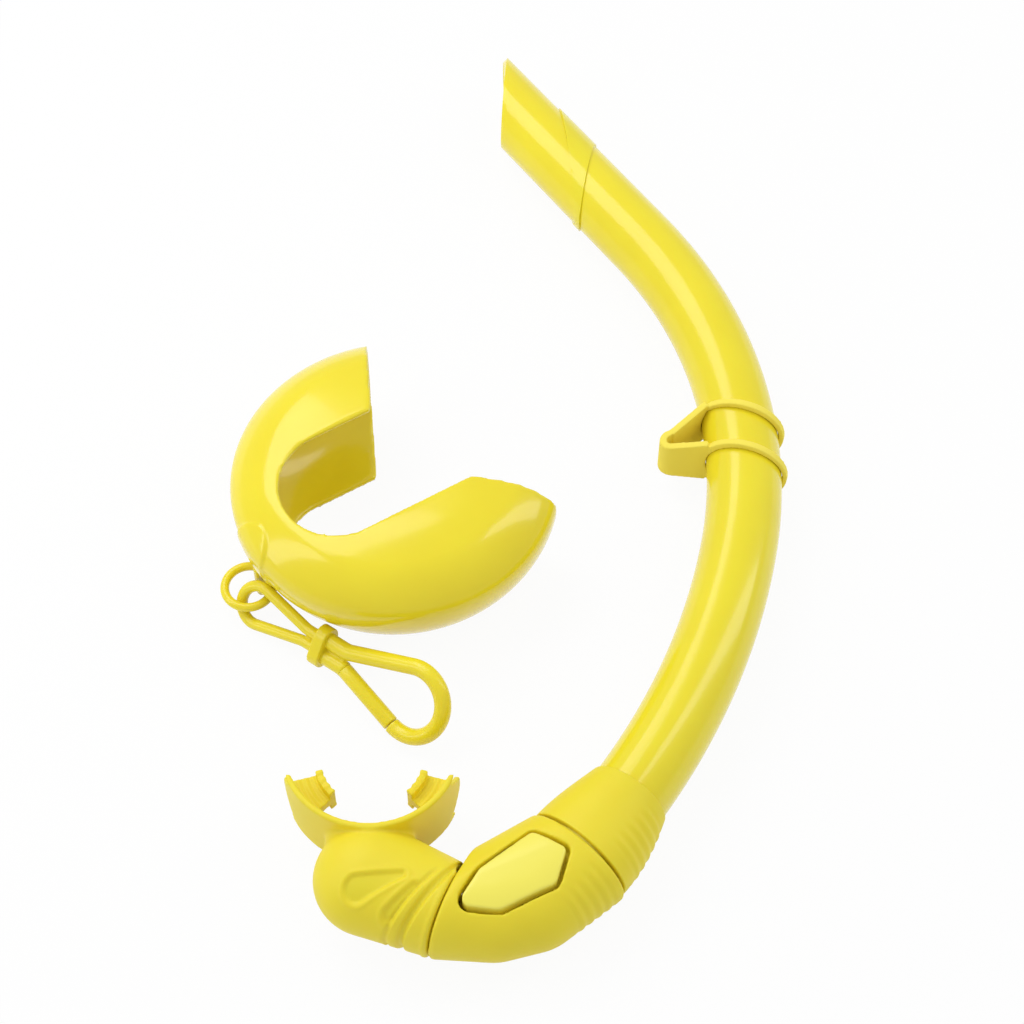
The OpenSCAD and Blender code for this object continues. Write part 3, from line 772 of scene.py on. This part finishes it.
def mouth_bar(name, width, height, from_y, to_y):
    """A bar with a stadium section that runs along Y through the mouth opening."""
    bm = bmesh.new()
    half, turns = (width - height) / 2, 24
    loop = []
    for side, start in ((1, -pi / 2), (-1, pi / 2)):
        for i in range(turns + 1):
            angle = start + pi * i / turns
            x = FLANGE_MID[0] + side * half + cos(angle) * height / 2
            loop.append(bm.verts.new(plan(x, from_y, AXIS_Z + sin(angle) * height / 2)))
    face = bm.faces.new(loop)
    made = bmesh.ops.extrude_face_region(bm, geom=[face])["geom"]
    far = [item for item in made if isinstance(item, bmesh.types.BMVert)]
    bmesh.ops.translate(bm, verts=far, vec=(0, (to_y - from_y) * MM, 0))
    return new_piece(name, bm)


def hull_of(name, pieces):
    """The tight skin over whole pieces."""
    bm = bmesh.new()
    for piece in pieces:
        bm.from_mesh(piece.data)
    discard(pieces)
    return tight_skin(name, bm)


def elbow_forms(inset, neck_start):
    """The neck and the mouth tube, each run into the bulb."""
    ball = (*BULB, BULB_R - inset, AXIS_Z - inset)
    neck_r = NECK_R - inset
    neck_rings = line_stations(NECK, NECK_DIR, (neck_start, neck_start + 1), neck_r, neck_r)
    neck = hull_form("neck", [ball], neck_rings)
    width, height = MOUTH_W + 2 * (MOUTH_WALL - inset), MOUTH_H + 2 * (MOUTH_WALL - inset)
    front = FLANGE_MID[1] - FLANGE_R
    tube = hull_of("mouth_tube", [hull_form("bulb", [ball], []),
                                  mouth_bar("mouth_end", width, height, front - 4, front - 3)])
    return neck, tube


def capsule(places, wide, narrow, wide_r, narrow_r):
    """How far inside a tapered leaf each place lies, in millimetres."""
    start, run = np.array(wide), np.array(narrow) - np.array(wide)
    share = np.clip(((places[:, :2] - start) @ run) / (run @ run), 0, 1)
    gap = np.linalg.norm(places[:, :2] - start - share[:, None] * run, axis=1)
    return wide_r + (narrow_r - wide_r) * share - gap


def mouthpiece_relief(places, normals):
    """Leaf recesses on both faces, and the slanting grooves across the neck."""
    size = settings("relief")
    neck = (np.array(NECK) - np.array(PLAN_ZERO)) / MM
    away = places[:, :2] - neck[:2]
    along = away @ (cos(NECK_DIR), sin(NECK_DIR))
    outer = away @ (-sin(NECK_DIR), cos(NECK_DIR))
    face = step(0.15, 0.45, np.abs(normals[:, 2])) * step(5, 8, np.abs(places[:, 2] - AXIS_Z))
    height = np.zeros(len(places))
    for wide, narrow, wide_r, narrow_r in LEAVES:
        inside = capsule(places, wide, narrow, wide_r, narrow_r)
        height -= size.leaf_depth * step(-0.2, 1.0, inside) * face
        height += 0.25 * step(-1.8, -0.7, inside) * (1 - step(-0.7, 0.1, inside)) * face
    outside = step(10, 13, np.hypot(places[:, 2] - AXIS_Z, outer))
    slant = along - 4.6 - 0.3 * outer
    height -= size.neck_depth * (1 - step(0.5, 1.7, np.abs(slant))) * outside
    slant = along - 8.4 - 0.36 * outer
    height -= 0.55 * size.neck_depth * (1 - step(0.3, 1.1, np.abs(slant))) * outside * step(-9, -3, outer)
    rim = along - 1.2 - 0.05 * outer
    height += 0.35 * (1 - step(0.2, 1.2, np.abs(rim))) * outside
    return height


class SNORKEL_OT_mouthpiece(Operator):
    """Makes the elbow with its leaf recesses and the curved gum flange"""

    bl_idname = "snorkel.mouthpiece"
    bl_label = "Mouthpiece"

    def execute(self, context):
        front = FLANGE_MID[1] - FLANGE_R
        neck, tube = elbow_forms(0, NECK_GAP)
        bar = mouth_bar("bar", MOUTH_W + 2 * MOUTH_WALL, MOUTH_H + 2 * MOUTH_WALL, front - 4, front + 6)
        body = mould(join("body", [neck, tube, bar]), 0.6, 6)
        carve(body, [upright("jaw", FLANGE_MID, FLANGE_R - 1.2, -1, 2 * AXIS_Z + 1, 256)])
        piece = mould(join("mouthpiece", [body, node_copy("flange", "mouth_flange")]), 0.55, 2)
        passage = mouth_bar("passage", MOUTH_W, MOUTH_H, front - 8, FLANGE_MID[1])
        bore = rod("neck_bore", NECK, NECK_DIR, -2, NECK_SPIGOT_LEN + 2, NECK_SPIGOT_R + 0.05)
        hollows = elbow_forms(CHAMBER_WALL, NECK_SPIGOT_LEN + 0.5)
        carve(piece, [mould(join("inside", [*hollows, passage, bore]), 0.6, 0)])
        mould(piece, 0.55, 4)
        relief(piece, mouthpiece_relief)
        finish_piece(piece, "mouthpiece", ("elbow", "mouth_flange"), matt_silicone())
        return {"FINISHED"}


class SNORKEL_OT_bites(Operator):
    """Makes the two bite webs with their ridges and lugs"""

    bl_idname = "snorkel.bites"
    bl_label = "Bite webs"

    def execute(self, context):
        for name in ("bite_left", "bite_right"):
            piece = mould(node_copy(name + "_web", name), 0.3, 5)
            middle = np.array(FLANGE_MID)

            def ridges(places, normals):
                away = places[:, :2] - middle
                radius = np.hypot(away[:, 0], away[:, 1])
                angle = np.degrees(np.arctan2(away[:, 0], -away[:, 1]))
                web = step(18, 19.5, radius) * (1 - step(26, 27.5, radius))
                web = web * step(0.5, 0.9, np.abs(normals[:, 2]))
                lug = (1 - step(19, 20.5, radius)) * step(3, 5, np.abs(places[:, 2] - AXIS_Z))
                return 0.2 * web * np.cos(2 * pi * radius / 2.6) + 0.15 * lug * np.cos(2 * pi * angle / 9)

            relief(piece, ridges)
            finish_piece(piece, "mouthpiece", (name,), matt_silicone())
        return {"FINISHED"}


# ---------------------------------------------------------------- keeper


class SNORKEL_OT_keeper(Operator):
    """Makes the mask keeper: two rings round the tube and a folded strip"""

    bl_idname = "snorkel.keeper"
    bl_label = "Keeper"

    def execute(self, context):
        piece = mould(node_copy("mask_keeper", "keeper"), 0.36, 5)
        finish_piece(piece, "keeper", ("keeper",), keeper_silicone())
        return {"FINISHED"}


# ---------------------------------------------------------------- case

CASE_MID = (-42, -5.5)
CASE_TURN = radians(31)
CASE_R = 59.5
CASE_H = 46
CASE_WALL = 2.2
CASE_TOP_R = 16
CASE_LOW_R = 29
CASE_CROWN = 6.0
CROWN_FROM = 24
SLOT_HALF_W = 21.6
SLOT_REACH = 43.5
ARM_ENDS = (radians(-38.5), radians(64))
WEDGE_BACK = 7.7


def in_case(x, y):
    """A point of the case's own plan, whose X runs out through the slot."""
    return (CASE_MID[0] + x * cos(CASE_TURN) - y * sin(CASE_TURN),
            CASE_MID[1] + x * sin(CASE_TURN) + y * cos(CASE_TURN))


def case_form(name, inset):
    """The round case before its slot is cut, turned from its outline."""
    radius, top, low = CASE_R - inset, CASE_TOP_R - inset, CASE_LOW_R - inset
    belly = CASE_H - CASE_TOP_R
    outline = [(0, inset)]
    outline += [(radius - low + low * sin(a), inset + low - low * cos(a))
                for a in np.linspace(0, pi / 2, 40)]
    outline += [(radius - top + top * cos(a), belly + top * sin(a)) for a in np.linspace(0, pi / 2, 28)]
    outline += [(radius * share, CASE_H - inset) for share in np.linspace(0.72, 0.42, 12)]
    drops = [max(0, r - CROWN_FROM) / (radius - CROWN_FROM) for r, _ in outline]
    rises = [max(0, z - belly) / (CASE_H - belly) for _, z in outline]
    outline = [(r, z - CASE_CROWN * drop ** 2 * rise) for (r, z), drop, rise in zip(outline, drops, rises)]
    outline.append((0, CASE_H - inset))
    bm = bmesh.new()
    verts = [bm.verts.new(plan(CASE_MID[0] + r, CASE_MID[1], z)) for r, z in outline]
    edges = [bm.edges.new(pair) for pair in zip(verts, verts[1:])]
    bmesh.ops.spin(bm, geom=verts + edges, cent=plan(*CASE_MID), axis=UP, angle=2 * pi, steps=256,
                   use_merge=True)
    return new_piece(name, bm)


def case_relief(places, normals):
    """The round-topped tab on the closed end's outer face."""
    size = settings("relief")
    x = (places[:, 0] - CASE_MID[0]) * cos(CASE_TURN) + (places[:, 1] - CASE_MID[1]) * sin(CASE_TURN)
    y = (places[:, 1] - CASE_MID[1]) * cos(CASE_TURN) - (places[:, 0] - CASE_MID[0]) * sin(CASE_TURN)
    half, top, low = 9.3, 40, 13
    z = places[:, 2]
    side = np.where(z > top - half, half - np.hypot(y, z - top + half), half - np.abs(y))
    inside = np.minimum(side, z - low)
    outer = (x < -40) & (np.hypot(normals[:, 0], normals[:, 1]) > 0.2) & (np.hypot(x, y) > 48)
    outward = (normals[:, 0] * np.cos(CASE_TURN) + normals[:, 1] * np.sin(CASE_TURN)) < 0
    return size.tab_height * step(-0.4, 0.8, inside) * outer * outward


class SNORKEL_OT_case(Operator):
    """Makes the horseshoe storage case with its tab"""

    bl_idname = "snorkel.case"
    bl_label = "Case"

    def execute(self, context):
        low, high = -5, CASE_H + 5
        box = [in_case(*p) for p in ((SLOT_HALF_W - SLOT_REACH, -SLOT_HALF_W), (2 * CASE_R, -SLOT_HALF_W),
                                     (2 * CASE_R, SLOT_HALF_W), (SLOT_HALF_W - SLOT_REACH, SLOT_HALF_W))]
        far = 3 * CASE_R
        angles = (ARM_ENDS[0], sum(ARM_ENDS) / 2, ARM_ENDS[1])
        wedge = [in_case(-WEDGE_BACK, 0)]
        wedge += [in_case(far * cos(a) - WEDGE_BACK, far * sin(a)) for a in angles]
        slot_end = in_case(SLOT_HALF_W - SLOT_REACH, 0)
        piece = case_form("storage_case", 0)
        carve(piece, [
            case_form("inside", CASE_WALL),
            upright("slot_end", slot_end, SLOT_HALF_W, low, high, 192),
            prism("slot", box, low, high),
            prism("open_side", wedge, low, high),
        ])
        mould(piece, 0.8, 6)
        relief(piece, case_relief)
        finish_piece(piece, "case", ("case_shell", "case_tab"), case_gloss())
        bar = mould(node_copy("ring_bar", "case_bar"), 0.3, 4)
        finish_piece(bar, "case", ("case_bar",), case_gloss())
        return {"FINISHED"}


# ---------------------------------------------------------------- ring and clip

RING_R = 8.7
RING_WIRE = 1.6
CLIP_WIRE = 3.0
EYE_WIRE = 2.1
HOOK = (40.5, 12.6)
EYE = (30.0, 7.2)
FLARE_R = 9.0
HOOK_FLARE_X = 9.0
EYE_FLARE_X = 7.0
WAIST_GAP = CLIP_WIRE + 0.1
EYE_GAP = EYE_WIRE + 0.3
GATE_SLIT = 0.5
GATE_OVERLAP = 0.4
CLIP_PLACE = (Matrix.Translation(plan(-67.1, -63.15, 10.4)) @ Matrix.Rotation(radians(-40.5), 4, "Z")
              @ Matrix.Rotation(radians(50.4), 4, "X") @ Matrix.Rotation(radians(5.9), 4, "Z"))


def loop_end(reach, end_r, flare_x, gap):
    """The angle round a loop's end at which its straight side leaves it."""
    dx, dy = flare_x - reach, gap + FLARE_R
    return atan2(dy, dx) - acos((end_r + FLARE_R) / hypot(dx, dy))


def arc_points(middle, radius, from_a, to_a, steps):
    """Points round an arc of the clip's plane."""
    turns = np.linspace(from_a, to_a, steps)
    return [(middle[0] + radius * cos(a), middle[1] + radius * sin(a)) for a in turns]


def strand_side(reach, end_r, flare_x, gap):
    """Points from the waist, round the flare and up to the loop's round end."""
    leave = loop_end(reach, end_r, flare_x, gap)
    points = [(0, gap), (flare_x / 2, gap)]
    points += arc_points((flare_x, gap + FLARE_R), FLARE_R, -pi / 2, leave - pi, 14)
    return points, leave


def strand(name, points, radius):
    """A round strand through points of the clip's plane, given in millimetres."""
    stations = []
    for i, point in enumerate(points):
        before, after = points[max(i - 1, 0)], points[min(i + 1, len(points) - 1)]
        run = Vector((after[0] - before[0], after[1] - before[1], 0)).normalized()
        stations.append(station(Vector((*point, 0)) * MM, Vector((run.y, -run.x, 0)), radius, radius))
    bm = bmesh.new()
    loft(bm, stations, 40)
    bmesh.ops.transform(bm, matrix=CLIP_PLACE, verts=bm.verts)
    return new_piece(name, bm)


def mirrored(points):
    """The points on the other side of the clip's long axis."""
    return [(x, -y) for x, y in points]


class SNORKEL_OT_clip(Operator):
    """Makes the ring, the snap clip with its waist band, and its gate"""

    bl_idname = "snorkel.clip"
    bl_label = "Ring and clip"

    def execute(self, context):
        low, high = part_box("case_ring")
        middle = (low + high) / 2
        bm = bmesh.new()
        across = Matrix.Translation(middle + Vector((RING_R * MM, 0, 0))) @ Matrix.Rotation(pi / 2, 4, "X")
        wire = bmesh.ops.create_circle(bm, segments=40, radius=RING_WIRE * MM, matrix=across)["verts"]
        edges = list({edge for vert in wire for edge in vert.link_edges})
        bmesh.ops.spin(bm, geom=wire + edges, cent=middle, axis=UP, angle=2 * pi, steps=112, use_merge=True)
        finish_piece(new_piece("ring", bm), "ring", ("case_ring",), clip_gloss())

        side, leave = strand_side(*HOOK, HOOK_FLARE_X, WAIST_GAP)
        round_end = arc_points((HOOK[0], 0), HOOK[1], leave, -leave, 60)
        back = strand("back", side + round_end, CLIP_WIRE)
        root = strand("root", mirrored(side)[:-1], CLIP_WIRE)
        eye_side, eye_leave = strand_side(*EYE, EYE_FLARE_X, EYE_GAP)
        eye_end = arc_points((EYE[0], 0), EYE[1], eye_leave, -eye_leave, 48)
        loop = eye_side + eye_end + mirrored(eye_side)[::-1]
        eye = strand("eye", [(-x, y) for x, y in loop], EYE_WIRE)
        piece = mould(join("snap_clip", [back, root, eye]), 0.34, 4)
        finish_piece(piece, "clip", ("clip_frame",), clip_gloss())

        bm = bmesh.new()
        waist_len, band_r = 4.6, 4.7
        lying = Matrix.Rotation(pi / 2, 4, "Y")
        for side_y in (-WAIST_GAP * MM, WAIST_GAP * MM):
            bmesh.ops.create_cone(bm, cap_ends=True, segments=64, radius1=band_r * MM,
                                  radius2=band_r * MM, depth=waist_len * MM,
                                  matrix=Matrix.Translation((0, side_y, 0)) @ lying)
        middle_block = Matrix.Diagonal((waist_len * MM, 2 * WAIST_GAP * MM, 2 * band_r * MM, 1))
        bmesh.ops.create_cube(bm, size=1, matrix=middle_block)
        bmesh.ops.transform(bm, matrix=CLIP_PLACE, verts=bm.verts)
        waist = mould(new_piece("clip_waist", bm), 0.3, 6)
        finish_piece(waist, "clip", ("clip_collar",), clip_gloss())

        start, end = Vector(mirrored(side)[-1]), Vector(mirrored(round_end)[0])
        run = (end - start).normalized()
        line = (start - run * GATE_OVERLAP, start + run * 6, end - run * GATE_SLIT)
        gate = strand("gate", [tuple(point) for point in line], CLIP_WIRE - 0.1)
        round_edges(gate, 0.5, 3, 50)
        finish_piece(gate, "gate", ("clip_gate",), clip_gloss())
        return {"FINISHED"}


# ---------------------------------------------------------------- hidden pieces and the stage


FLOOR_DROP = 0.05
FLOOR_HALF = 4
FLOOR_GLOW = 0.94


class SNORKEL_OT_inner(Operator):
    """Gives the connector, the spigot, the valve seat and the flap their finish"""

    bl_idname = "snorkel.inner"
    bl_label = "Inner pieces"

    def execute(self, context):
        for name in ("connector", "spigot", "purge_seat", "purge_flap"):
            node = frame["nodes"][name]
            node.data.materials.clear()
            node.data.materials.append(flap_silicone() if name == "purge_flap" else inner_plastic())
        return {"FINISHED"}


def background_share(tree):
    """1 for the rays that see the background: camera, glossy and transmission rays."""
    path = tree.nodes.new("ShaderNodeLightPath")
    total = path.outputs["Is Camera Ray"]
    for name in ("Is Glossy Ray", "Is Transmission Ray"):
        either = tree.nodes.new("ShaderNodeMath")
        either.operation = "MAXIMUM"
        tree.links.new(total, either.inputs[0])
        tree.links.new(path.outputs[name], either.inputs[1])
        total = either.outputs["Value"]
    return total


def soft_box(name, place, target, width, length, power):
    """A rectangular lamp that faces its target."""
    data = bpy.data.lights.new(name, "AREA")
    data.shape = "RECTANGLE"
    data.size, data.size_y = width, length
    data.energy = power
    lamp = bpy.data.objects.new(name, data)
    lamp.location = place
    lamp.rotation_mode = "QUATERNION"
    lamp.rotation_quaternion = (Vector(target) - Vector(place)).to_track_quat("-Z", "Y")
    bpy.context.scene.collection.objects.link(lamp)
    return lamp


class SNORKEL_OT_stage(Operator):
    """Makes the floor, the white surroundings, the soft boxes and the camera"""

    bl_idname = "snorkel.stage"
    bl_label = "Stage"

    def execute(self, context):
        studio = settings("studio")
        middle = plan(0, 0)
        bm = bmesh.new()
        below = Matrix.Translation((0, 0, -FLOOR_DROP * MM))
        bmesh.ops.create_grid(bm, x_segments=1, y_segments=1, size=FLOOR_HALF, matrix=below)
        floor = new_piece("floor", bm)
        paper = bpy.data.materials.new("paper")
        paper.use_nodes = True
        tree = paper.node_tree
        shader = tree.nodes["Principled BSDF"]
        shader.inputs["Base Color"].default_value = (0.9, 0.9, 0.9, 1)
        shader.inputs["Roughness"].default_value = 0.9
        glow = tree.nodes.new("ShaderNodeEmission")
        glow.inputs["Strength"].default_value = 1
        share = tree.nodes.new("ShaderNodeMath")
        share.operation = "MULTIPLY"
        share.inputs[1].default_value = FLOOR_GLOW
        tree.links.new(background_share(tree), share.inputs[0])
        mix = tree.nodes.new("ShaderNodeMixShader")
        tree.links.new(share.outputs["Value"], mix.inputs["Fac"])
        tree.links.new(shader.outputs["BSDF"], mix.inputs[1])
        tree.links.new(glow.outputs["Emission"], mix.inputs[2])
        tree.links.new(mix.outputs["Shader"], tree.nodes["Material Output"].inputs["Surface"])
        floor.data.materials.append(paper)

        world = bpy.data.worlds.new("surroundings")
        context.scene.world = world
        world.use_nodes = True
        tree = world.node_tree
        air = tree.nodes["Background"]
        air.inputs["Color"].default_value = (1, 1, 1, 1)
        strength = tree.nodes.new("ShaderNodeMapRange")
        strength.inputs["To Min"].default_value = studio.ambient
        strength.inputs["To Max"].default_value = 1
        path = tree.nodes.new("ShaderNodeLightPath")
        tree.links.new(path.outputs["Is Camera Ray"], strength.inputs["Value"])
        tree.links.new(strength.outputs["Result"], air.inputs["Strength"])

        soft_box("overhead", middle + Vector((-0.34, 0.32, 0.72)), middle, 0.55, 0.55, studio.key_power)
        soft_box("left_strip", middle + Vector((-0.6, -0.15, 0.42)), middle, 0.16, 0.7, studio.strip_power)
        soft_box("right_strip", middle + Vector((0.55, 0.1, 0.5)), middle, 0.14, 0.7, studio.strip_power)

        data = bpy.data.cameras.new("camera")
        data.lens = studio.lens
        data.sensor_width = 36
        camera = bpy.data.objects.new("camera", data)
        back = Vector((0, -cos(studio.camera_height), sin(studio.camera_height)))
        camera.location = middle + back * studio.camera_distance
        camera.rotation_mode = "QUATERNION"
        camera.rotation_quaternion = (-back).to_track_quat("-Z", "Y")
        context.scene.collection.objects.link(camera)
        context.scene.camera = camera
        context.scene.view_settings.view_transform = "Standard"
        return {"FINISHED"}


# ---------------------------------------------------------------- panel and registration

MAKERS = (SNORKEL_OT_tube, SNORKEL_OT_band, SNORKEL_OT_collar, SNORKEL_OT_chamber, SNORKEL_OT_cover,
          SNORKEL_OT_mouthpiece, SNORKEL_OT_bites, SNORKEL_OT_keeper, SNORKEL_OT_case, SNORKEL_OT_clip,
          SNORKEL_OT_inner, SNORKEL_OT_stage)
SETTINGS = {"silicone": SiliconeSettings, "relief": ReliefSettings, "studio": StudioSettings}


class SNORKEL_PT_panel(Panel):
    """Lists the settings and the makers"""

    bl_idname = "SNORKEL_PT_panel"
    bl_label = "Snorkel"
    bl_space_type = "VIEW_3D"
    bl_region_type = "UI"
    bl_category = "Snorkel"

    def draw(self, context):
        for part in SETTINGS:
            box = self.layout.box()
            box.label(text=part.capitalize())
            group = settings(part)
            for name in group.__annotations__:
                box.prop(group, name)
        column = self.layout.column()
        for maker in MAKERS:
            column.operator(maker.bl_idname, text=maker.bl_label)


CLASSES = (*SETTINGS.values(), *MAKERS, SNORKEL_PT_panel)


def register():
    for cls in CLASSES:
        bpy.utils.register_class(cls)
    for part, group in SETTINGS.items():
        setattr(bpy.types.Scene, "snorkel_" + part, PointerProperty(type=group))


def unregister():
    for part in SETTINGS:
        delattr(bpy.types.Scene, "snorkel_" + part)
    for cls in reversed(CLASSES):
        bpy.utils.unregister_class(cls)


def main():
    register()
    for maker in MAKERS:
        family, action = maker.bl_idname.split(".")
        getattr(getattr(bpy.ops, family), action)()


if __name__ == "__main__":
    main()
